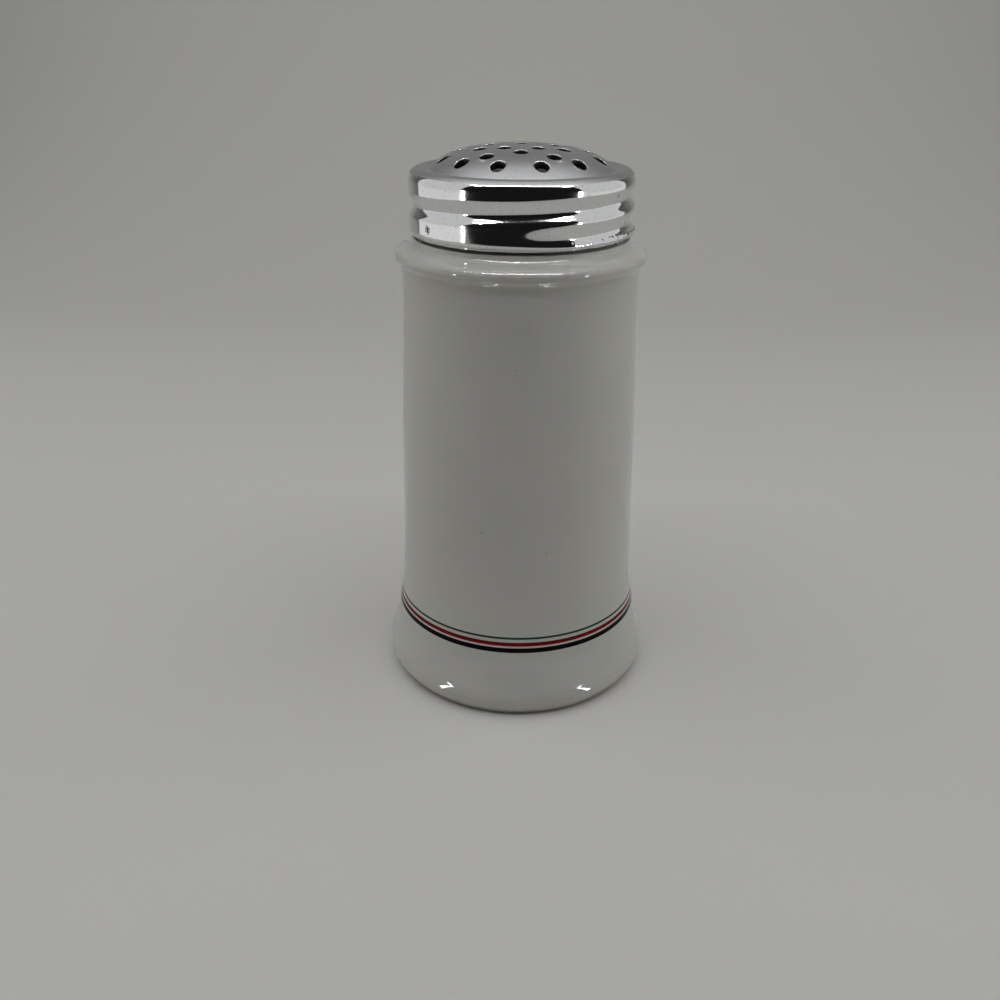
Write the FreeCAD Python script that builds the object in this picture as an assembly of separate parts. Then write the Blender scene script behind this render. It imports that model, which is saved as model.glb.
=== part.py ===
import FreeCAD, Part
import math
import os

V = FreeCAD.Vector

# A table spice shaker: a glazed china jar with a screw neck, three colour bands near the foot,
# a soft washer on the rim and a screw cap with a perforated dome.
# Millimetres. The jar's axis is Z, it stands on Z = 0, and its front faces -Y.

# Jar foot
foot_ring_radius = 35.9
foot_ring_inner_radius = 31.0
foot_recess_depth = 2.2
foot_radius = 38.6
foot_bulge_height = 5.6
foot_edge_slope = 1.4
foot_knee_height = 9.5
foot_knee_draw_in = 0.8
foot_hip_height = 13.1
foot_hip_swell = 1.1

# Straight tapered stretch of the wall that carries the colour bands
band_zone_bottom = 18.0
band_zone_top = 25.6
band_zone_bottom_radius = 35.45
band_zone_top_radius = 34.4

# Body, from the bands up to the pinch under the collar
body_low_height = 34.0
body_low_radius = 33.75
body_middle_height = 58.0
body_middle_radius = 33.1
body_high_height = 90.0
body_high_radius = 32.3
pinch_height = 116.5
pinch_radius = 31.5

# Collar and the cove that leads up to the neck
collar_radius = 33.2
collar_height = 122.2
collar_bead_radius = 1.9
collar_lower_angle = -50.0
collar_upper_angle = 76.0
neck_root_radius = 28.5
neck_root_height = 126.7
cove_end_lean = 0.1

# Neck
neck_radius = 25.6
rim_height = 141.0
rim_rounding = 1.4
mouth_radius = 21.2

# Inside of the jar
floor_thickness = 6.8
floor_corner_radius = 8.0
wall_thickness = 4.0
inner_shoulder_drop = 12.0
throat_drop = 3.0

# Screw thread shared by the neck and the cap
thread_pitch = 6.2
thread_runout = 60.0
thread_step = 10.0
rib_radius = 1.25
rib_height = 1.4
rib_start_angle = -190.0
rib_end_angle = 300.0
rib_rise_over_groove = 2.6
groove_depth = 1.2
groove_radius = 1.95
groove_height = 3.9
groove_start_angle = -100.0
groove_end_angle = 430.0
groove_runout_clearance = 0.2

# Colour bands fired into the glaze: height of the lower edge and width
band_depth = 0.12
green_band_height = 23.57
green_band_width = 0.62
red_band_height = 21.54
red_band_width = 1.12
black_band_height = 19.6
black_band_width = 1.4

# Washer between the rim and the cap
washer_thickness = 1.0
washer_inner_radius = 22.2
washer_side_gap = 0.2
washer_gap = 0.05

# Cap
cap_lift_above_root = 0.8
cap_skirt_radius = 29.2
cap_edge_radius = 28.6
cap_edge_taper_height = 1.6
cap_edge_lean = 0.6
cap_wall = 1.5
cap_seat_thickness = 1.8
cap_seat_corner_radius = 1.0
cap_seat_lip = 0.1
cap_shoulder_drop = 3.0
shoulder_crown_radius = 26.4
crease_radius = 23.6
crease_drop = 0.5
dome_height = 6.1
dome_crown_share = 0.555
dome_edge_power = 7.5
dome_wall = 1.5
dome_curve_shares = (0.0, 0.35, 0.6, 0.8, 0.92, 1.0)
dome_hollow_shares = (0.0, 0.35, 0.6, 0.8, 0.93)

# Pouring holes in the dome
hole_radius = 1.85
hole_ring_radii = (8.3, 12.0, 16.2, 20.05)
hole_ring_counts = (6, 6, 6, 12)
hole_ring_first_angles = (-60.0, -90.0, -60.0, -75.0)
hole_pattern_turn = -1.5

# Heights and radii that follow from the values above
washer_height = rim_height + washer_gap
cap_seat_height = washer_height + washer_thickness + washer_gap
cap_bottom_height = neck_root_height + cap_lift_above_root
cap_shoulder_height = cap_seat_height + cap_seat_thickness
cap_skirt_top = cap_shoulder_height - cap_shoulder_drop
crease_height = cap_shoulder_height - crease_drop
apex_height = crease_height + dome_height
cap_inner_radius = cap_skirt_radius - cap_wall
cap_seat_radius = cap_inner_radius - cap_seat_corner_radius
washer_outer_radius = cap_seat_radius - washer_side_gap
groove_zero_height = cap_bottom_height + groove_height


def point(radius, height):
    return V(radius, 0, height)


def line(start, end):
    return Part.LineSegment(start, end).toShape()


def arc(start, middle, end):
    return Part.Arc(start, middle, end).toShape()


def flow(points, start_direction, end_direction):
    """A smooth curve through the points that leaves and arrives in the given directions."""
    curve = Part.BSplineCurve()
    curve.interpolate(Points=points, InitialTangent=start_direction, FinalTangent=end_direction)
    return curve.toShape()


def direction(degrees):
    return V(math.cos(math.radians(degrees)), 0, math.sin(math.radians(degrees)))


def on_circle(centre, radius, degrees):
    return centre + direction(degrees) * radius


def turned(edges):
    """The solid that a closed outline beside the axis makes in one full turn about Z."""
    wire = Part.Wire(Part.__sortEdges__(edges))
    return Part.Face(wire).revolve(V(0, 0, 0), V(0, 0, 1), 360)


def one_solid(shape, name):
    if len(shape.Solids) != 1 or not shape.isValid():
        raise ValueError(name + " is not one valid solid")
    return shape.Solids[0]


def screw_tube(start_angle, end_angle, zero_height, path_radius, tube_radius, runout_shift):
    """A round tube along the thread's helix. Over the run-out at each end it moves off by
    runout_shift, so that a groove or a rib fades into its wall."""
    steps = int(round((end_angle - start_angle) / thread_step))
    points = []
    for index in range(steps + 1):
        angle = start_angle + index * (end_angle - start_angle) / steps
        from_end = min(angle - start_angle, end_angle - angle)
        fade = max(0.0, 1.0 - from_end / thread_runout)
        fade = fade * fade * (3.0 - 2.0 * fade)
        radius = path_radius + runout_shift * fade
        turn = math.radians(angle)
        height = zero_height + thread_pitch * angle / 360.0
        points.append(V(radius * math.cos(turn), radius * math.sin(turn), height))
    path = Part.BSplineCurve()
    path.interpolate(Points=points)
    spine = path.toShape()
    tangent = spine.tangentAt(spine.FirstParameter)
    section = Part.Wire(Part.Circle(points[0], tangent, tube_radius).toShape())
    tube = Part.Wire(spine).makePipeShell([section], True, False)
    return one_solid(tube, "screw tube")


def band_zone_radius(height):
    """The wall's radius on the straight tapered stretch that carries the bands."""
    share = (height - band_zone_bottom) / (band_zone_top - band_zone_bottom)
    return band_zone_bottom_radius + share * (band_zone_top_radius - band_zone_bottom_radius)


def band_ring(height, width, depth, proud):
    """A thin ring that follows the tapered wall, from depth inside it to proud outside it."""
    low = band_zone_radius(height)
    high = band_zone_radius(height + width)
    corners = [
        point(low - depth, height),
        point(low + proud, height),
        point(high + proud, height + width),
        point(high - depth, height + width),
    ]
    edges = [line(corners[i], corners[(i + 1) % 4]) for i in range(4)]
    return turned(edges)


def jar_outside():
    """Outer outline of the jar, from the foot ring to the top of the rim."""
    taper = V(band_zone_top_radius - band_zone_bottom_radius, 0, band_zone_top - band_zone_bottom)
    contact = point(foot_ring_radius, 0)
    bulge = point(foot_radius, foot_bulge_height)
    knee = point(foot_radius - foot_knee_draw_in, foot_knee_height)
    hip = point(band_zone_bottom_radius + foot_hip_swell, foot_hip_height)
    zone_low = point(band_zone_bottom_radius, band_zone_bottom)
    zone_high = point(band_zone_top_radius, band_zone_top)
    collar_centre = point(collar_radius - collar_bead_radius, collar_height)
    collar_low = on_circle(collar_centre, collar_bead_radius, collar_lower_angle)
    collar_tip = point(collar_radius, collar_height)
    collar_high = on_circle(collar_centre, collar_bead_radius, collar_upper_angle)
    root = point(neck_root_radius, neck_root_height)
    neck_foot = point(neck_radius, neck_root_height)
    rim_edge = point(neck_radius, rim_height - rim_rounding)
    body = [
        zone_high,
        point(body_low_radius, body_low_height),
        point(body_middle_radius, body_middle_height),
        point(body_high_radius, body_high_height),
        point(pinch_radius, pinch_height),
        collar_low,
    ]
    return [
        flow([contact, bulge], V(1, 0, foot_edge_slope), V(0, 0, 1)),
        flow([bulge, knee, hip, zone_low], V(0, 0, 1), taper),
        line(zone_low, zone_high),
        flow(body, taper, direction(collar_lower_angle + 90)),
        arc(collar_low, collar_tip, collar_high),
        flow([collar_high, root], direction(collar_upper_angle + 90), V(-cove_end_lean, 0, 1)),
        line(root, neck_foot),
        line(neck_foot, rim_edge),
    ], contact, rim_edge


def jar_inside():
    """Inner outline of the jar, from the rim's inner edge down to the middle of the floor."""
    rim_inner = point(mouth_radius, rim_height - rim_rounding)
    throat = point(mouth_radius, neck_root_height - throat_drop)
    inner_top_height = collar_height - inner_shoulder_drop
    inner_top = point(pinch_radius - wall_thickness, inner_top_height)
    inner_low_height = floor_thickness + floor_corner_radius
    inner_low_radius = band_zone_top_radius - wall_thickness
    inner_low = point(inner_low_radius, inner_low_height)
    corner_centre = point(inner_low_radius - floor_corner_radius, inner_low_height)
    corner_middle = on_circle(corner_centre, floor_corner_radius, -45)
    floor_edge = on_circle(corner_centre, floor_corner_radius, -90)
    middle = point(0, floor_thickness)
    wall_line = inner_top - inner_low
    return [
        line(rim_inner, throat),
        flow([inner_top, throat], wall_line, V(0, 0, 1)),
        line(inner_low, inner_top),
        arc(floor_edge, corner_middle, inner_low),
        line(floor_edge, middle),
    ], rim_inner, middle


def make_jar():
    outside, contact, rim_edge = jar_outside()
    inside, rim_inner, middle = jar_inside()
    rim_top_outer = point(neck_radius - rim_rounding, rim_height)
    rim_top_inner = point(mouth_radius + rim_rounding, rim_height)
    outer_round = point(neck_radius - rim_rounding, rim_height - rim_rounding)
    inner_round = point(mouth_radius + rim_rounding, rim_height - rim_rounding)
    ring_inner = point(foot_ring_inner_radius, 0)
    recess_edge = point(foot_ring_inner_radius - foot_recess_depth, foot_recess_depth)
    recess_middle = point(0, foot_recess_depth)
    edges = outside + inside
    edges.append(arc(rim_edge, on_circle(outer_round, rim_rounding, 45), rim_top_outer))
    edges.append(line(rim_top_outer, rim_top_inner))
    edges.append(arc(rim_top_inner, on_circle(inner_round, rim_rounding, 135), rim_inner))
    edges.append(line(contact, ring_inner))
    edges.append(line(ring_inner, recess_edge))
    edges.append(line(recess_edge, recess_middle))
    edges.append(line(recess_middle, middle))
    jar = turned(edges)
    for height, width in BANDS.values():
        jar = jar.cut(band_ring(height, width, band_depth, band_depth))
    rib_path_radius = neck_radius + rib_height - rib_radius
    rib = screw_tube(
        rib_start_angle,
        rib_end_angle,
        groove_zero_height + rib_rise_over_groove,
        rib_path_radius,
        rib_radius,
        -rib_height,
    )
    return one_solid(jar.fuse(rib), "jar")


def make_band(height, width):
    return band_ring(height, width, band_depth, 0.0)


def make_washer():
    outer = Part.makeCylinder(washer_outer_radius, washer_thickness, point(0, washer_height))
    inner = Part.makeCylinder(washer_inner_radius, washer_thickness, point(0, washer_height))
    return one_solid(outer.cut(inner), "washer")


def dome_height_at(radius):
    """Height of the dome's outer skin: a crown that steepens towards the crease."""
    share = radius / crease_radius
    crown = dome_crown_share * share ** 2
    fall = crown + (1 - dome_crown_share) * share ** dome_edge_power
    return apex_height - dome_height * fall


def cap_outside():
    """Outer outline of the cap, from the skirt's lower edge over the shoulder to the apex."""
    dome_radii = [crease_radius * share for share in dome_curve_shares]
    dome_points = [point(radius, dome_height_at(radius)) for radius in dome_radii]
    edge = point(cap_edge_radius, cap_bottom_height)
    skirt_low = point(cap_skirt_radius, cap_bottom_height + cap_edge_taper_height)
    skirt_high = point(cap_skirt_radius, cap_skirt_top)
    crown = point(shoulder_crown_radius, cap_shoulder_height)
    crease = dome_points[-1]
    slope = crease - crown
    return [
        flow([edge, skirt_low], V(cap_edge_lean, 0, 1), V(0, 0, 1)),
        line(skirt_low, skirt_high),
        flow([skirt_high, crown], V(0, 0, 1), slope),
        line(crown, crease),
        flow(dome_points, V(1, 0, 0), dome_points[-1] - dome_points[-2]),
    ], edge, dome_points[0]


def cap_hollow():
    """The space inside the cap: dome, washer seat and skirt, before the thread ridge."""
    lip_radius = washer_inner_radius - cap_seat_lip
    dome = []
    for share in dome_hollow_shares:
        height = dome_height_at(crease_radius * share) - dome_wall
        dome.append(point(lip_radius * share / dome_hollow_shares[-1], height))
    lip = dome[-1]
    seat_inner = point(lip_radius, cap_seat_height)
    corner = cap_seat_corner_radius
    seat_outer = point(cap_seat_radius, cap_seat_height)
    corner_centre = point(cap_seat_radius, cap_seat_height - corner)
    corner_low = point(cap_inner_radius, cap_seat_height - corner)
    below = cap_bottom_height - cap_wall
    edges = [
        flow(dome, V(1, 0, 0), dome[-1] - dome[-2]),
        line(lip, seat_inner),
        line(seat_inner, seat_outer),
        arc(seat_outer, on_circle(corner_centre, corner, 45), corner_low),
        line(corner_low, point(cap_inner_radius, below)),
        line(point(cap_inner_radius, below), point(0, below)),
        line(point(0, below), dome[0]),
    ]
    return turned(edges)


def hole_places():
    """Centre hole and four rings of holes, as radius and angle."""
    places = [(0.0, 0.0)]
    for radius, count, first in zip(hole_ring_radii, hole_ring_counts, hole_ring_first_angles):
        for index in range(count):
            degrees = first + hole_pattern_turn + 360.0 * index / count
            places.append((radius, degrees))
    return places


def make_cap():
    outline, edge, apex = cap_outside()
    outline.append(line(edge, point(0, cap_bottom_height)))
    outline.append(line(point(0, cap_bottom_height), apex))
    cap = turned(outline)
    path_radius = cap_skirt_radius - groove_depth + groove_radius
    ridge = screw_tube(
        groove_start_angle,
        groove_end_angle,
        groove_zero_height,
        path_radius,
        groove_radius + cap_wall,
        groove_depth + groove_runout_clearance,
    )
    groove = screw_tube(
        groove_start_angle,
        groove_end_angle,
        groove_zero_height,
        path_radius,
        groove_radius,
        groove_depth + groove_runout_clearance,
    )
    cap = cap.cut(cap_hollow().cut(ridge))
    cap = cap.cut(groove)
    for radius, degrees in hole_places():
        turn = math.radians(degrees)
        base = V(radius * math.cos(turn), radius * math.sin(turn), cap_seat_height)
        depth = apex_height - cap_seat_height + dome_wall
        cap = cap.cut(Part.makeCylinder(hole_radius, depth, base))
    return one_solid(cap, "cap")


BANDS = {
    "green_band": (green_band_height, green_band_width),
    "red_band": (red_band_height, red_band_width),
    "black_band": (black_band_height, black_band_width),
}


def main():
    os.makedirs("parts", exist_ok=True)
    nodes = {"jar": make_jar(), "sealing_washer": make_washer(), "cap": make_cap()}
    for name, (height, width) in BANDS.items():
        nodes[name] = make_band(height, width)
    for name, shape in nodes.items():
        box = shape.BoundBox
        print(name, "solids", len(shape.Solids), "valid", shape.isValid(),
              "volume", round(shape.Volume, 2), "z", round(box.ZMin, 3), round(box.ZMax, 3))
        shape.exportStep("parts/" + name + ".step")


main()
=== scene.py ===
"""Looks of a china table spice shaker with a plated screw cap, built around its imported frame."""

import math

import bmesh
import bpy
from mathutils import Matrix, Vector, noise


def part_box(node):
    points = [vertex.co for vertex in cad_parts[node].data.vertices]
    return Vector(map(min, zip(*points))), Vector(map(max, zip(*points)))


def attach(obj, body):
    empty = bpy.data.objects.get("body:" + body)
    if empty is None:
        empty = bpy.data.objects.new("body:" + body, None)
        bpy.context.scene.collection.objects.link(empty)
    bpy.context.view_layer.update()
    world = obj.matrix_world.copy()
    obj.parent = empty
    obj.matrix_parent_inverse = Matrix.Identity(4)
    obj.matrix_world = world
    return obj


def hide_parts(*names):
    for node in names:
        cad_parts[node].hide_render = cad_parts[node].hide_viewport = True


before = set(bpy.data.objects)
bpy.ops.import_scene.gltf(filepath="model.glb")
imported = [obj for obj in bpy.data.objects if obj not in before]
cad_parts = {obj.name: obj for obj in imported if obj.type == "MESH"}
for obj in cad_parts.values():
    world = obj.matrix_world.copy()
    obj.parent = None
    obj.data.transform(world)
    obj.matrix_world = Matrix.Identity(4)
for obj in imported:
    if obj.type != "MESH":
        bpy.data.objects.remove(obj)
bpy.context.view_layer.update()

bl_info = {
    "name": "China Spice Shaker",
    "version": (1, 0, 0),
    "blender": (4, 5, 0),
    "location": "View3D > Sidebar > Shaker",
    "description": "Dresses a glazed china spice shaker with a plated, perforated screw cap",
    "category": "Object",
}

MM = 0.001
CAP_BODY = "cap_body"
CAP_LOW, CAP_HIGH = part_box("cap")
WASHER_LOW, WASHER_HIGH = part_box("sealing_washer")


def linear(hex_colour):
    """An sRGB hex colour such as C8C8C4 as the linear colour that a shader takes."""
    channels = [int(hex_colour[i:i + 2], 16) / 255 for i in (0, 2, 4)]
    return tuple(c / 12.92 if c <= 0.04045 else ((c + 0.055) / 1.055) ** 2.4 for c in channels)


def rgba(colour):
    return (colour[0], colour[1], colour[2], 1.0)


def length(name, description, millimetres):
    return bpy.props.FloatProperty(
        name=name,
        description=description,
        default=millimetres * MM,
        unit="LENGTH",
        precision=5,
    )


def colour(name, description, hex_colour):
    return bpy.props.FloatVectorProperty(
        name=name,
        description=description,
        default=linear(hex_colour),
        subtype="COLOR",
        size=3,
        min=0.0,
        max=1.0,
    )


class ShakerCapSizes(bpy.types.PropertyGroup):
    """Sizes of the screw cap that the frame's box doesn't give"""

    wall: length("Wall", "Thickness of the moulded wall", 1.5)
    edge_inset: length("Edge Inset", "How far the lower edge draws in from the skirt", 0.6)
    edge_taper: length("Edge Taper", "Height over which the skirt draws in to its lower edge", 1.6)
    pitch: length("Thread Pitch", "Rise of the thread in one turn", 6.2)
    groove_depth: length("Groove Depth", "Depth of the thread groove in the skirt", 1.2)
    groove_above: length("Groove Upper Flank", "Height of the groove's long upper flank", 3.5)
    groove_below: length("Groove Lower Flank", "Height of the groove's short lower flank", 2.6)
    groove_height: length("Groove Height", "Groove above the lower edge, at the +X side", 3.9)
    shoulder_drop: length("Shoulder Drop", "Height of the rounded shoulder", 3.0)
    crown_radius: length("Crown Radius", "Where the shoulder turns over to the crease", 26.4)
    crease_radius: length("Crease Radius", "Radius of the dome's edge", 23.6)
    crease_drop: length("Crease Drop", "Crease below the shoulder's crown", 0.5)
    dome_height: length("Dome Height", "Rise of the dome above the crease", 6.1)
    lip_radius: length("Lip Radius", "Inner radius of the washer's seat", 22.1)
    hole_radius: length("Hole Radius", "Radius of a pouring hole", 1.85)
    hole_rounding: length("Hole Rounding", "Rounding of a pouring hole's rim", 0.18)


class ShakerColours(bpy.types.PropertyGroup):
    """Colours of the finishes"""

    china: colour("China", "White vitrified china under clear glaze", "CBCAC4")
    bare_china: colour("Bare China", "Unglazed foot ring", "C2BAA9")
    pinhole: colour("Pinhole", "Iron specks and pinholes in the glaze", "3A342C")
    green: colour("Green Band", "Green overglaze enamel", "1C3A2A")
    red: colour("Red Band", "Red overglaze enamel", "6A0A0D")
    black: colour("Black Band", "Black overglaze enamel", "050505")
    plating: colour("Plating", "Chromium plate", "E2E3E4")
    satin_plating: colour("Satin Plating", "Chromium plate over the blasted mould", "B2B3B5")
    # Dark dull plastic: real where the plate has worn through, and painted shade on the hole walls
    # and under the dome.
    bare_plastic_and_hole_shade: colour("Worn Plating And Hole Shade", "Dull plastic where the plate has gone", "2E3138")
    tarnish: colour("Tarnish", "Yellow-green bloom in the plate", "8C8440")
    washer: colour("Washer", "Soft off-white washer", "D8D2C2")
    floor: colour("Floor", "Pale sweep that the shaker stands on", "DAD9D5")


def add(tree, kind, values=None, links=None, **settings):
    """Adds a node with its settings, socket values and links."""
    node = tree.nodes.new(kind)
    for name, value in settings.items():
        setattr(node, name, value)
    for name, value in (values or {}).items():
        node.inputs[name].default_value = value
    for name, source in (links or {}).items():
        tree.links.new(source, node.inputs[name])
    return node


def new_material(name):
    """An empty material with its output node."""
    material = bpy.data.materials.new(name)
    material.use_nodes = True
    tree = material.node_tree
    tree.nodes.clear()
    return material, tree, tree.nodes.new("ShaderNodeOutputMaterial")


def glazed_china(colours):
    """Vitrified china, slip cast and glazed: a deep white body under a clear, glassy coat that is
    a little wavy, with a few iron specks and pinholes. The foot ring is ground bare."""
    material, tree, output = new_material("Glazed China")
    place = add(tree, "ShaderNodeTexCoord").outputs["Object"]
    cloud = add(
        tree,
        "ShaderNodeTexNoise",
        {"Scale": 1 / (28 * MM), "Detail": 2.0},
        {"Vector": place},
    )
    tone = add(
        tree,
        "ShaderNodeMix",
        {"A": rgba(colours.china), "B": rgba([c * 0.93 for c in colours.china])},
        {"Factor": cloud.outputs["Fac"]},
        data_type="RGBA",
    )
    cells = add(
        tree,
        "ShaderNodeTexVoronoi",
        {"Scale": 1 / (4.5 * MM)},
        {"Vector": place},
    )
    keep = add(
        tree,
        "ShaderNodeMapRange",
        {"To Min": -0.05, "To Max": 0.05},
        {"Value": cells.outputs["Color"]},
    )
    speck = add(
        tree,
        "ShaderNodeMath",
        None,
        {0: keep.outputs["Result"], 1: cells.outputs["Distance"]},
        operation="GREATER_THAN",
    )
    body = add(
        tree,
        "ShaderNodeMix",
        {"B": rgba(colours.pinhole)},
        {"Factor": speck.outputs["Value"], "A": tone.outputs["Result"]},
        data_type="RGBA",
    )
    height = add(tree, "ShaderNodeSeparateXYZ", None, {"Vector": place})
    bare = add(
        tree,
        "ShaderNodeMapRange",
        {"From Min": 0.5 * MM, "From Max": 0.7 * MM, "To Min": 1.0, "To Max": 0.0},
        {"Value": height.outputs["Z"]},
    )
    surface = add(
        tree,
        "ShaderNodeMix",
        {"B": rgba(colours.bare_china)},
        {"Factor": bare.outputs["Result"], "A": body.outputs["Result"]},
        data_type="RGBA",
    )
    gloss = add(
        tree,
        "ShaderNodeMapRange",
        {"To Min": 0.035, "To Max": 0.62},
        {"Value": bare.outputs["Result"]},
    )
    wave = add(
        tree,
        "ShaderNodeTexNoise",
        {"Scale": 1 / (5 * MM), "Detail": 1.0},
        {"Vector": place},
    )
    ripple = add(
        tree,
        "ShaderNodeBump",
        {"Strength": 0.1, "Distance": 0.02 * MM},
        {"Height": wave.outputs["Fac"]},
    )
    pit = add(
        tree,
        "ShaderNodeBump",
        {"Strength": 0.6, "Distance": 0.1 * MM},
        {"Height": speck.outputs["Value"], "Normal": ripple.outputs["Normal"]},
        invert=True,
    )
    shader = add(
        tree,
        "ShaderNodeBsdfPrincipled",
        {"IOR": 1.52},
        {
            "Base Color": surface.outputs["Result"],
            "Roughness": gloss.outputs["Result"],
            "Normal": pit.outputs["Normal"],
        },
    )
    tree.links.new(shader.outputs["BSDF"], output.inputs["Surface"])
    return material


def overglaze_enamel(name, paint):
    """Ceramic enamel, banded on and fired over the glaze: dense, glossy, thin where the brush
    ran dry, so its tone wanders a little along the band."""
    material, tree, output = new_material(name)
    place = add(tree, "ShaderNodeTexCoord").outputs["Object"]
    streak = add(
        tree,
        "ShaderNodeTexNoise",
        {"Scale": 1 / (3 * MM), "Detail": 3.0},
        {"Vector": place},
    )
    light = [min(1.0, c * 1.5 + 0.001) for c in paint]
    tone = add(
        tree,
        "ShaderNodeMix",
        {"A": rgba(paint), "B": rgba(light)},
        {"Factor": streak.outputs["Fac"]},
        data_type="RGBA",
    )
    gloss = add(
        tree,
        "ShaderNodeMapRange",
        {"To Min": 0.1, "To Max": 0.22},
        {"Value": streak.outputs["Fac"]},
    )
    shader = add(
        tree,
        "ShaderNodeBsdfPrincipled",
        {"IOR": 1.5, "Specular IOR Level": 0.06},
        {"Base Color": tone.outputs["Result"], "Roughness": gloss.outputs["Result"]},
    )
    tree.links.new(shader.outputs["BSDF"], output.inputs["Surface"])
    return material


def soft_washer(colours):
    """Soft pressed washer: matt, slightly fibrous and compressed where the rim bears."""
    material, tree, output = new_material("Soft Washer")
    place = add(tree, "ShaderNodeTexCoord").outputs["Object"]
    fibre = add(
        tree,
        "ShaderNodeTexNoise",
        {"Scale": 1 / (0.8 * MM), "Detail": 4.0},
        {"Vector": place},
    )
    tone = add(
        tree,
        "ShaderNodeMix",
        {"A": rgba(colours.washer), "B": rgba([c * 0.75 for c in colours.washer])},
        {"Factor": fibre.outputs["Fac"]},
        data_type="RGBA",
    )
    bump = add(
        tree,
        "ShaderNodeBump",
        {"Strength": 0.5, "Distance": 0.08 * MM},
        {"Height": fibre.outputs["Fac"]},
    )
    shader = add(
        tree,
        "ShaderNodeBsdfPrincipled",
        {"Roughness": 0.8},
        {"Base Color": tone.outputs["Result"], "Normal": bump.outputs["Normal"]},
    )
    tree.links.new(shader.outputs["BSDF"], output.inputs["Surface"])
    return material


def stained(tree, place, tone, centre, radius, stain):
    """The plate's tone with one worn place in it, speckled and fading out at a radius; the centre
    and the radius are in millimetres."""
    away = add(
        tree,
        "ShaderNodeVectorMath",
        {1: [c * MM for c in centre]},
        {0: place},
        operation="DISTANCE",
    )
    speckle = add(
        tree,
        "ShaderNodeTexNoise",
        {"Scale": 1 / (0.35 * MM), "Detail": 3.0},
        {"Vector": place},
    )
    near = add(
        tree,
        "ShaderNodeMapRange",
        {"From Min": 0.0, "From Max": radius * MM, "To Min": 0.75, "To Max": 0.35},
        {"Value": away.outputs["Value"]},
    )
    worn = add(
        tree,
        "ShaderNodeMath",
        None,
        {0: near.outputs["Result"], 1: speckle.outputs["Fac"]},
        operation="SUBTRACT",
    )
    amount = add(
        tree,
        "ShaderNodeMapRange",
        {"From Min": 0.0, "From Max": 0.08},
        {"Value": worn.outputs["Value"]},
    )
    return add(
        tree,
        "ShaderNodeMix",
        {"B": rgba(stain)},
        {"Factor": amount.outputs["Result"], "A": tone.outputs["Result"]},
        data_type="RGBA",
    )


def chromium_plate(name, plating, colours, low_gloss, high_gloss, grain):
    """Chromium plate on moulded ABS: a mirror where the mould was polished and satin where it was
    blasted, with fine handling scratches and pitted, dulled spots where the plate has worn."""
    material, tree, output = new_material(name)
    place = add(tree, "ShaderNodeTexCoord").outputs["Object"]
    scratch = add(
        tree,
        "ShaderNodeTexNoise",
        {"Scale": 1 / (1.5 * MM), "Detail": 5.0},
        {"Vector": place},
    )
    wear = add(
        tree,
        "ShaderNodeTexVoronoi",
        {"Scale": 1 / (6 * MM)},
        {"Vector": place},
    )
    keep = add(
        tree,
        "ShaderNodeMapRange",
        {"To Min": -0.09, "To Max": 0.05},
        {"Value": wear.outputs["Color"]},
    )
    pit = add(
        tree,
        "ShaderNodeMath",
        None,
        {0: keep.outputs["Result"], 1: wear.outputs["Distance"]},
        operation="GREATER_THAN",
    )
    tone = add(
        tree,
        "ShaderNodeMix",
        {"A": rgba(plating), "B": rgba(colours.bare_plastic_and_hole_shade)},
        {"Factor": pit.outputs["Value"]},
        data_type="RGBA",
    )
    for centre, radius, stain in (
        ((-23.0, -18.0, 130.8), 1.5, colours.bare_plastic_and_hole_shade),
        ((23.8, -17.0, 138.7), 1.2, colours.tarnish),
    ):
        tone = stained(tree, place, tone, centre, radius, stain)
    gloss = add(
        tree,
        "ShaderNodeMapRange",
        {"To Min": low_gloss, "To Max": high_gloss},
        {"Value": scratch.outputs["Fac"]},
    )
    bump = add(
        tree,
        "ShaderNodeBump",
        {"Strength": grain, "Distance": 0.02 * MM},
        {"Height": scratch.outputs["Fac"]},
    )
    shader = add(
        tree,
        "ShaderNodeBsdfPrincipled",
        {"Metallic": 1.0},
        {
            "Base Color": tone.outputs["Result"],
            "Roughness": gloss.outputs["Result"],
            "Normal": bump.outputs["Normal"],
        },
    )
    tree.links.new(shader.outputs["BSDF"], output.inputs["Surface"])
    return material


def bare_abs_painted_hole_shade(colours):
    """ABS behind the plate, moulded and left dull; its dark tone in the holes and under the dome
    is painted shade.
    """
    material, tree, output = new_material("Moulded ABS Painted Hole Shade")
    place = add(tree, "ShaderNodeTexCoord").outputs["Object"]
    grain = add(
        tree,
        "ShaderNodeTexNoise",
        {"Scale": 1 / (0.6 * MM), "Detail": 3.0},
        {"Vector": place},
    )
    gloss = add(
        tree,
        "ShaderNodeMapRange",
        {"To Min": 0.45, "To Max": 0.65},
        {"Value": grain.outputs["Fac"]},
    )
    bump = add(
        tree,
        "ShaderNodeBump",
        {"Strength": 0.2, "Distance": 0.03 * MM},
        {"Height": grain.outputs["Fac"]},
    )
    shader = add(
        tree,
        "ShaderNodeBsdfPrincipled",
        {"Base Color": rgba(colours.bare_plastic_and_hole_shade), "IOR": 1.54},
        {"Roughness": gloss.outputs["Result"], "Normal": bump.outputs["Normal"]},
    )
    tree.links.new(shader.outputs["BSDF"], output.inputs["Surface"])
    return material


def dome_fall(share):
    """How far the dome has fallen, as a share of its height, at a share of its radius."""
    return 0.555 * share ** 2 + 0.445 * share ** 7.5


def smooth_fade(value):
    value = min(1.0, max(0.0, value))
    return value * value * (3.0 - 2.0 * value)


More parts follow.
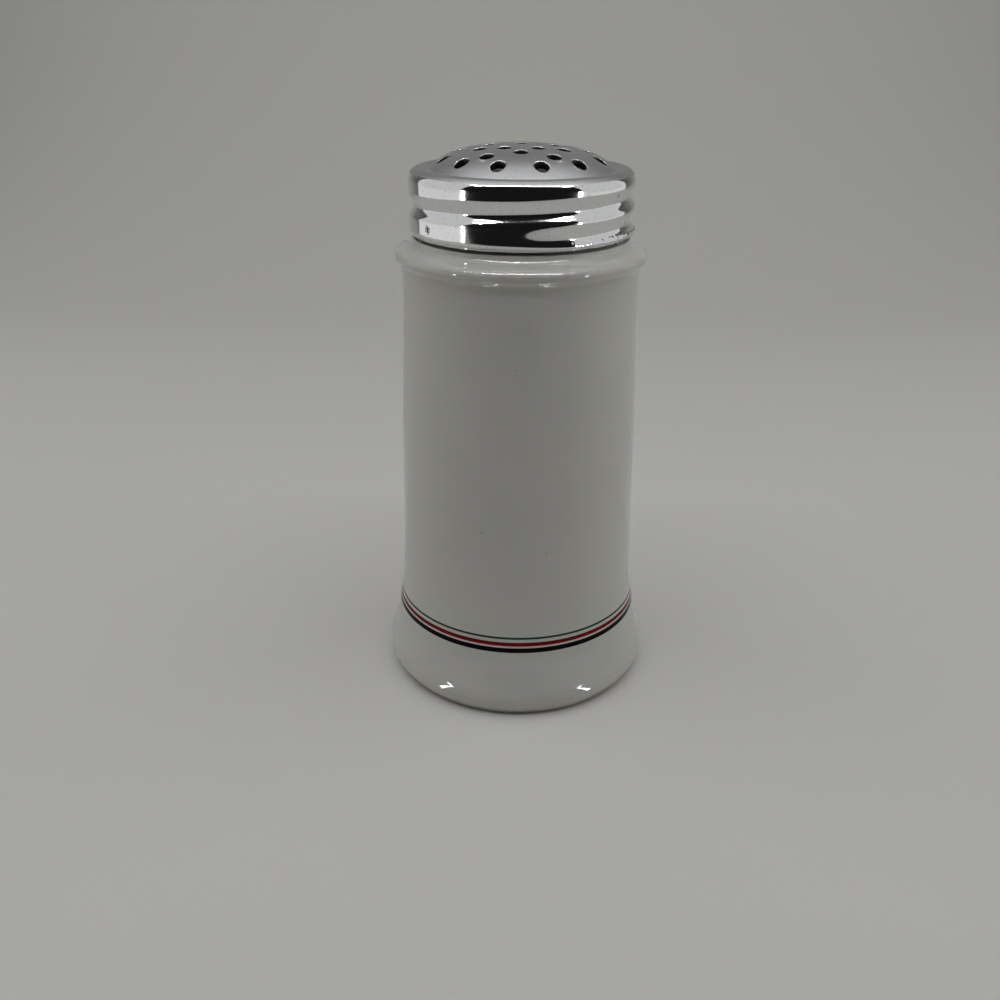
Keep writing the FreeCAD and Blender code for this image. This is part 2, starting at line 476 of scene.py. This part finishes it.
def groove_offset(sizes, degrees, height):
    """How deep the helical groove is at one place of the skirt, measured in from its skin."""
    start, end, runout = -100.0, 430.0, 60.0
    zero = CAP_LOW[2] + sizes.groove_height
    depth = 0.0
    for turn in (-1, 0, 1):
        angle = degrees + 360.0 * turn
        if start <= angle <= end:
            fade = smooth_fade(min(angle - start, end - angle) / runout)
            away = height - zero - sizes.pitch * angle / 360.0
            away /= sizes.groove_above if away > 0 else -sizes.groove_below
            if away < 1.0:
                depth = max(depth, fade * math.cos(math.pi / 2 * away) ** 2)
    return depth * sizes.groove_depth


def torn_plate(degrees, above):
    """How far the loose plate at the lower edge, to the right of the front, stands out and is
    torn up, at a height above that edge."""
    side = (degrees + 180.0) % 360.0 - 180.0
    along = smooth_fade((side + 70.0) / 16.0) * smooth_fade((1.0 - side) / 7.0)
    low = smooth_fade((2.9 * MM - above) / (1.3 * MM))
    if along * low == 0.0:
        return 0.0, 0.0
    crinkle = noise.noise(Vector((side * 0.62, above / MM * 1.4, 3.0)))
    crinkle += 0.5 * noise.noise(Vector((side * 1.7, above / MM * 3.0, 7.0)))
    curl = smooth_fade((side + 34.0) / 26.0) * low * low
    ragged = 0.5 + noise.noise(Vector((side * 0.5, 0.0, 11.0)))
    out = along * low * (0.17 * crinkle + 0.42 * curl)
    up = along * low * low * (0.25 + 0.75 * curl) * ragged
    return out * MM, up * MM


def bezier(start, first, second, end, steps):
    """Points of a cubic curve after its start, up to and with its end."""
    points = []
    for index in range(1, steps + 1):
        t = index / steps
        s = 1 - t
        weights = (s ** 3, 3 * s * s * t, 3 * s * t * t, t ** 3)
        points.append(tuple(
            sum(w * p[axis] for w, p in zip(weights, (start, first, second, end)))
            for axis in (0, 1)
        ))
    return points


def skirt_outline(sizes):
    """The skirt's section from the crease, over the shoulder, down the outside, round the lower
    edge and up the inside to the washer's seat, as (radius, height, skin) points."""
    skirt = CAP_HIGH[0]
    inner = skirt - sizes.wall
    bottom = CAP_LOW[2]
    seat = WASHER_HIGH[2]
    crown_height = CAP_HIGH[2] - sizes.dome_height + sizes.crease_drop
    crease = (sizes.crease_radius, crown_height - sizes.crease_drop)
    crown = (sizes.crown_radius, crown_height)
    top = (skirt, crown_height - sizes.shoulder_drop)
    taper_top = bottom + sizes.edge_taper
    edge = skirt - sizes.edge_inset
    rounding = 0.3 * MM
    rise = (crown[0] - crease[0]) * 0.45
    bend = 0.55
    points = [crease + ("satin",)]
    valley = bezier(crease, (crease[0] + rise, crease[1]), (crown[0] - rise, crown[1]), crown, 6)
    roll = bezier(
        crown,
        (crown[0] + (skirt - crown[0]) * bend, crown[1]),
        (skirt, top[1] + sizes.shoulder_drop * bend),
        top,
        16,
    )
    points += [p + ("satin",) for p in valley + roll[:9]]
    points += [p + ("bright",) for p in roll[9:]]
    steps = 64
    for index in range(1, steps + 1):
        height = top[1] + (taper_top - top[1]) * index / steps
        points.append((skirt, height, "outside"))
    for index in range(1, 9):
        share = index / 8
        height = taper_top + (bottom + rounding - taper_top) * share
        points.append((skirt - sizes.edge_inset * share ** 2, height, "outside"))
    for degrees in (-30, -60, -90):
        turn = math.radians(degrees)
        centre = edge - rounding
        points.append((
            centre + rounding * math.cos(turn),
            bottom + rounding + rounding * math.sin(turn),
            "edge",
        ))
    points.append((inner + rounding, bottom, "edge"))
    points.append((inner, bottom + rounding, "edge"))
    corner = seat - 1.0 * MM
    for index in range(1, steps + 1):
        height = bottom + rounding + (corner - bottom - rounding) * index / steps
        points.append((inner, height, "inside"))
    for degrees in (30, 60, 90):
        turn = math.radians(degrees)
        points.append((
            inner - 1.0 * MM + 1.0 * MM * math.cos(turn),
            corner + 1.0 * MM * math.sin(turn),
            "inside",
        ))
    points.append((sizes.lip_radius, seat, "inside"))
    points.append((sizes.lip_radius, crease[1] - sizes.wall * 0.6, "inside"))
    return points


def skirt_mesh(sizes, around):
    """The skirt and shoulder with the helical groove, as one closed ring."""
    outline = skirt_outline(sizes)
    rows = []
    mesh = bmesh.new()
    for step in range(around):
        degrees = 360.0 * step / around
        turn = math.radians(degrees)
        row = []
        for radius, height, skin in outline:
            if skin in ("outside", "inside", "edge"):
                radius -= groove_offset(sizes, degrees, height)
            if skin in ("outside", "edge"):
                out, up = torn_plate(degrees, height - CAP_LOW[2])
                radius += out
                height += up
            row.append(mesh.verts.new((
                radius * math.cos(turn),
                radius * math.sin(turn),
                height,
            )))
        rows.append(row)
    count = len(outline)
    for step in range(around):
        here, there = rows[step], rows[(step + 1) % around]
        for index in range(count):
            after = (index + 1) % count
            face = mesh.faces.new((here[index], here[after], there[after], there[index]))
            face.smooth = True
            face.material_index = 1 if outline[after][2] == "satin" else 0
    bmesh.ops.recalc_face_normals(mesh, faces=mesh.faces)
    return mesh


def hole_places():
    """Centre hole and four rings of pouring holes, as points in the cap's plan."""
    places = [(0.0, 0.0)]
    pattern_turn = -1.5
    rings = ((8.3, 6, -60.0), (12.0, 6, -90.0), (16.2, 6, -60.0), (20.05, 12, -75.0))
    for radius, count, first in rings:
        for index in range(count):
            turn = math.radians(first + pattern_turn + 360.0 * index / count)
            places.append((radius * MM * math.cos(turn), radius * MM * math.sin(turn)))
    return places


def dome_mesh(sizes, around, rings):
    """The dome as a closed lens, before its holes are cut."""
    mesh = bmesh.new()
    top = CAP_HIGH[2]
    under = WASHER_HIGH[2]
    outer_rows, inner_rows = [], []
    lip = sizes.crease_radius - 0.7 * MM
    for ring in range(1, rings + 1):
        share = math.sin(math.pi / 2 * ring / rings)
        height = top - sizes.dome_height * dome_fall(share)
        outer, inner = [], []
        for step in range(around):
            turn = 2 * math.pi * step / around
            across = Vector((math.cos(turn), math.sin(turn), 0))
            place = across * sizes.crease_radius * share + Vector((0, 0, height))
            outer.append(mesh.verts.new(place))
            low = max(under + 0.2 * MM, height - sizes.wall)
            inner.append(mesh.verts.new(across * lip * share + Vector((0, 0, low))))
        outer_rows.append(outer)
        inner_rows.append(inner)
    outer_pole = mesh.verts.new((0, 0, top))
    inner_pole = mesh.verts.new((0, 0, top - sizes.wall))
    for rows, pole in ((outer_rows, outer_pole), (inner_rows, inner_pole)):
        for step in range(around):
            after = (step + 1) % around
            mesh.faces.new((pole, rows[0][step], rows[0][after]))
            for low, high in zip(rows, rows[1:]):
                mesh.faces.new((low[step], high[step], high[after], low[after]))
    for step in range(around):
        after = (step + 1) % around
        outer, inner = outer_rows[-1], inner_rows[-1]
        mesh.faces.new((outer[step], inner[step], inner[after], outer[after]))
    for face in mesh.faces:
        face.smooth = True
    bmesh.ops.recalc_face_normals(mesh, faces=mesh.faces)
    return mesh


def new_object(name, mesh):
    """A scene object from a bmesh, which is used up."""
    data = bpy.data.meshes.new(name)
    mesh.to_mesh(data)
    mesh.free()
    piece = bpy.data.objects.new(name, data)
    bpy.context.scene.collection.objects.link(piece)
    return piece


def cut_holes(dome, sizes):
    """Cuts the pouring holes through the dome and rounds their rims."""
    drill = bmesh.new()
    low = WASHER_LOW[2]
    tall = CAP_HIGH[2] - low + sizes.wall
    for across, along in hole_places():
        place = Matrix.Translation((across, along, low + tall / 2))
        bmesh.ops.create_cone(
            drill,
            cap_ends=True,
            segments=40,
            radius1=sizes.hole_radius,
            radius2=sizes.hole_radius,
            depth=tall,
            matrix=place,
        )
    drills = new_object("drills", drill)
    cut = dome.modifiers.new("holes", "BOOLEAN")
    cut.operation = "DIFFERENCE"
    cut.solver = "EXACT"
    cut.object = drills
    evaluated = dome.evaluated_get(bpy.context.evaluated_depsgraph_get())
    mesh = bmesh.new()
    mesh.from_mesh(evaluated.to_mesh())
    evaluated.to_mesh_clear()
    dome.modifiers.clear()
    bpy.data.objects.remove(drills)
    rims = []
    for edge in mesh.edges:
        if len(edge.link_faces) != 2:
            continue
        middle = (edge.verts[0].co + edge.verts[1].co) / 2
        share = math.hypot(middle.x, middle.y) / sizes.crease_radius
        skin = CAP_HIGH[2] - sizes.dome_height * dome_fall(share)
        near_skin = abs(middle.z - skin) < sizes.wall / 3
        if share < 0.99 and near_skin and edge.calc_face_angle() > math.radians(40):
            rims.append(edge)
    rounded = bmesh.ops.bevel(
        mesh,
        geom=rims,
        offset=sizes.hole_rounding,
        segments=3,
        profile=0.5,
        affect="EDGES",
    )
    for face in mesh.faces:
        face.smooth = True
        middle = face.calc_center_median()
        share = math.hypot(middle.x, middle.y) / sizes.crease_radius
        skin = CAP_HIGH[2] - sizes.dome_height * dome_fall(share)
        # Faces deep below the skin (hole walls and the dome's underside) take the dark ABS, which
        # is painted shade in the holes.
        face.material_index = 1 if skin - middle.z > 0.4 * MM and share < 0.97 else 0
    for face in rounded["faces"]:
        face.material_index = 2
    mesh.to_mesh(dome.data)
    mesh.free()


class SHAKER_OT_glaze_jar(bpy.types.Operator):
    """Glaze the china jar"""

    bl_idname = "shaker.glaze_jar"
    bl_label = "Glaze Jar"

    def execute(self, context):
        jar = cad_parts["jar"]
        jar.data.materials.clear()
        jar.data.materials.append(glazed_china(context.scene.shaker_colours))
        return {"FINISHED"}


class SHAKER_OT_paint_bands(bpy.types.Operator):
    """Paint the three enamel bands above the foot"""

    bl_idname = "shaker.paint_bands"
    bl_label = "Paint Bands"

    def execute(self, context):
        colours = context.scene.shaker_colours
        paints = {
            "green_band": ("Green Overglaze Enamel", colours.green),
            "red_band": ("Red Overglaze Enamel", colours.red),
            "black_band": ("Black Overglaze Enamel", colours.black),
        }
        for node, (name, paint) in paints.items():
            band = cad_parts[node]
            band.data.materials.clear()
            band.data.materials.append(overglaze_enamel(name, paint))
        return {"FINISHED"}


class SHAKER_OT_make_washer(bpy.types.Operator):
    """Finish the soft washer on the rim"""

    bl_idname = "shaker.make_washer"
    bl_label = "Finish Washer"

    def execute(self, context):
        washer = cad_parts["sealing_washer"]
        washer.data.materials.clear()
        washer.data.materials.append(soft_washer(context.scene.shaker_colours))
        return {"FINISHED"}


class SHAKER_OT_make_cap(bpy.types.Operator):
    """Mould the plated cap with its thread groove and perforated dome"""

    bl_idname = "shaker.make_cap"
    bl_label = "Make Cap"

    def execute(self, context):
        sizes = context.scene.shaker_cap
        colours = context.scene.shaker_colours
        bright = chromium_plate(
            "Bright Chromium Plate", colours.plating, colours, 0.04, 0.1, 0.08
        )
        satin = chromium_plate(
            "Satin Chromium Plate", colours.satin_plating, colours, 0.42, 0.5, 0.2
        )
        # The dark ABS is painted shade for the hole walls and the dome's underside.
        dull = bare_abs_painted_hole_shade(colours)
        skirt = new_object("cap_skirt", skirt_mesh(sizes, 480))
        skirt.data.materials.append(bright)
        skirt.data.materials.append(satin)
        dome = new_object("cap_dome", dome_mesh(sizes, 128, 18))
        dome.data.materials.append(satin)
        dome.data.materials.append(dull)
        dome.data.materials.append(bright)
        cut_holes(dome, sizes)
        for piece in (skirt, dome):
            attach(piece, CAP_BODY)
            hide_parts("cap")
        return {"FINISHED"}


class SHAKER_OT_set_stage(bpy.types.Operator):
    """Lay the pale sweep and set the lamps and the surroundings"""

    bl_idname = "shaker.set_stage"
    bl_label = "Set Stage"

    def execute(self, context):
        make_sweep(context.scene.shaker_colours)
        make_tent()
        make_world()
        return {"FINISHED"}


def make_sweep(colours):
    """A floor that curves up into a backdrop behind the shaker."""
    half_width, front, back, rise, bend = 1.6, -0.46, 0.75, 1.6, 0.35
    section = [(front, 0.0), (back - bend, 0.0)]
    for index in range(1, 17):
        turn = math.pi / 2 * index / 16
        section.append((back - bend + bend * math.sin(turn), bend - bend * math.cos(turn)))
    section.append((back, rise))
    mesh = bmesh.new()
    rows = [
        [mesh.verts.new((side * half_width, y, z)) for side in (-1, 1)]
        for y, z in section
    ]
    for low, high in zip(rows, rows[1:]):
        face = mesh.faces.new((low[0], low[1], high[1], high[0]))
        face.smooth = True
    sweep = new_object("sweep", mesh)
    material, tree, output = new_material("Matt Paper Sweep")
    shader = add(
        tree,
        "ShaderNodeBsdfPrincipled",
        {"Base Color": rgba(colours.floor), "Roughness": 0.9, "Specular IOR Level": 0.2},
    )
    tree.links.new(shader.outputs["BSDF"], output.inputs["Surface"])
    sweep.data.materials.append(material)


def make_panel(name, centre, facing, width, height, glow, glint=False, only=None, up=(0, 0, 1)):
    """An area lamp whose surface shines with the given radiance; the camera doesn't see it. Its
    width lies across the up direction. A glint shows in glossy surfaces and adds no other light,
    and a lamp that is only for some pieces leaves the rest alone."""
    data = bpy.data.lights.new(name, "AREA")
    data.shape = "RECTANGLE"
    data.size = width
    data.size_y = height
    data.energy = glow * math.pi * width * height
    lamp = bpy.data.objects.new(name, data)
    lamp.location = centre
    back = -Vector(facing).normalized()
    across = Vector(up).cross(back).normalized()
    turn = Matrix((across, back.cross(across), back)).transposed()
    lamp.rotation_euler = turn.to_euler()
    lamp.visible_camera = False
    lamp.visible_diffuse = not glint
    if only is not None:
        lamp.light_linking.receiver_collection = only
    bpy.context.scene.collection.objects.link(lamp)


def make_tent():
    """A light tent around the shaker: pale sides and roof, open and dark in front, with a thin
    lamp along the front edge of the roof and one down the front edge of each side."""
    half_width, front, back, roof = 0.62, -0.36, 0.4, 0.9
    wall_glow, roof_glow, strip_glow = 0.6, 0.92, 22.0
    edge_glow, bar_glow, rim_glow = 26.0, 60.0, 90.0
    foot_glint_width, foot_glint_height, foot_glint_glow = 0.0022, 0.0004, 26.0
    foot_glints = (
        ("far", (-0.056, -0.057), (-0.037, -0.048)),
        ("near", (-0.037, -0.048), (-0.030, -0.036)),
    )
    depth = back - front
    middle = (front + back) / 2
    strip_place = (0, front, roof - 0.04)
    strip_facing = (0, 0.4, -1)
    rearward = (0, 1, 0)
    china = bpy.data.collections.new("china_glints")
    china.objects.link(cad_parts["jar"])
    for side, name in ((-1, "left"), (1, "right")):
        make_panel(
            name + "_wall",
            (side * half_width, middle, roof / 2),
            (-side, 0, 0),
            depth,
            roof,
            wall_glow,
        )
        make_panel(
            name + "_edge",
            (side * (half_width - 0.02), front - 0.01, 0.09),
            (-side, 0.5, 0),
            0.035,
            0.17,
            edge_glow,
            glint=True,
        )
        make_panel(
            name + "_bar",
            (side * (half_width - 0.06), front + 0.01, roof - 0.04),
            (-side, 0.5, -1.2),
            0.14,
            0.03,
            bar_glow,
            glint=True,
        )
        for part, start, end in foot_glints:
            run = Vector((end[0] - start[0], end[1] - start[1], 0.0))
            make_panel(
                name + "_" + part + "_foot_glint",
                (-side * (start[0] + end[0]) / 2, (start[1] + end[1]) / 2, foot_glint_height),
                (0, 0, 1),
                foot_glint_width,
                run.length,
                foot_glint_glow,
                glint=True,
                only=china,
                up=(-side * run.x, run.y, 0.0),
            )
    make_panel(
        "roof", (0, middle, roof), (0, 0, -1), half_width * 2, depth, roof_glow, up=rearward
    )
    make_panel("front_strip", strip_place, strip_facing, 1.0, 0.02, strip_glow, up=rearward)
    make_panel(
        "rim_glint",
        strip_place,
        strip_facing,
        0.9,
        0.05,
        rim_glow,
        glint=True,
        only=china,
        up=rearward,
    )


def make_world():
    """Dark beyond the tent, and pale where the camera looks past it."""
    world = bpy.data.worlds.new("Studio")
    bpy.context.scene.world = world
    world.use_nodes = True
    tree = world.node_tree
    tree.nodes.clear()
    output = tree.nodes.new("ShaderNodeOutputWorld")
    ray = tree.nodes.new("ShaderNodeLightPath")
    tone = add(
        tree,
        "ShaderNodeMix",
        {"A": rgba(linear("161617")), "B": rgba(linear("969593"))},
        {"Factor": ray.outputs["Is Camera Ray"]},
        data_type="RGBA",
    )
    surround = add(tree, "ShaderNodeBackground", None, {"Color": tone.outputs["Result"]})
    tree.links.new(surround.outputs["Background"], output.inputs["Surface"])


class SHAKER_OT_place_camera(bpy.types.Operator):
    """Put the camera where the photograph was taken from"""

    bl_idname = "shaker.place_camera"
    bl_label = "Place Camera"

    def execute(self, context):
        image_size = 1000
        focal_pixels = 1000.0
        distance = 0.2675
        height = 0.1745
        pitch = math.radians(25.0)
        yaw = math.radians(1.1)
        roll = math.radians(0.32)
        data = bpy.data.cameras.new("camera")
        data.sensor_fit = "HORIZONTAL"
        data.sensor_width = 36.0
        data.lens = 36.0 * focal_pixels / image_size
        data.clip_start = 0.01
        data.clip_end = 20.0
        camera = bpy.data.objects.new("camera", data)
        turn = Matrix.Rotation(yaw, 4, "Z")
        tilt = Matrix.Rotation(math.pi / 2 - pitch, 4, "X")
        lean = Matrix.Rotation(roll, 4, "Z")
        camera.matrix_world = Matrix.Translation((0, -distance, height)) @ turn @ tilt @ lean
        context.scene.collection.objects.link(camera)
        context.scene.camera = camera
        context.scene.view_settings.view_transform = "Standard"
        return {"FINISHED"}


class SHAKER_PT_panel(bpy.types.Panel):
    """Lists the shaker's making steps"""

    bl_idname = "SHAKER_PT_panel"
    bl_label = "China Spice Shaker"
    bl_space_type = "VIEW_3D"
    bl_region_type = "UI"
    bl_category = "Shaker"

    def draw(self, context):
        for step in STEPS:
            self.layout.operator(step.bl_idname)
        for group in (context.scene.shaker_cap, context.scene.shaker_colours):
            for name in group.bl_rna.properties.keys():
                if name not in ("rna_type", "name"):
                    self.layout.prop(group, name)


STEPS = (
    SHAKER_OT_glaze_jar,
    SHAKER_OT_paint_bands,
    SHAKER_OT_make_washer,
    SHAKER_OT_make_cap,
    SHAKER_OT_set_stage,
    SHAKER_OT_place_camera,
)
CLASSES = (ShakerCapSizes, ShakerColours) + STEPS + (SHAKER_PT_panel,)


def register():
    for item in CLASSES:
        bpy.utils.register_class(item)
    bpy.types.Scene.shaker_cap = bpy.props.PointerProperty(type=ShakerCapSizes)
    bpy.types.Scene.shaker_colours = bpy.props.PointerProperty(type=ShakerColours)


def unregister():
    del bpy.types.Scene.shaker_colours
    del bpy.types.Scene.shaker_cap
    for item in reversed(CLASSES):
        bpy.utils.unregister_class(item)


def main():
    register()
    bpy.ops.shaker.glaze_jar()
    bpy.ops.shaker.paint_bands()
    bpy.ops.shaker.make_washer()
    bpy.ops.shaker.make_cap()
    bpy.ops.shaker.set_stage()
    bpy.ops.shaker.place_camera()


if __name__ == "__main__":
    main()
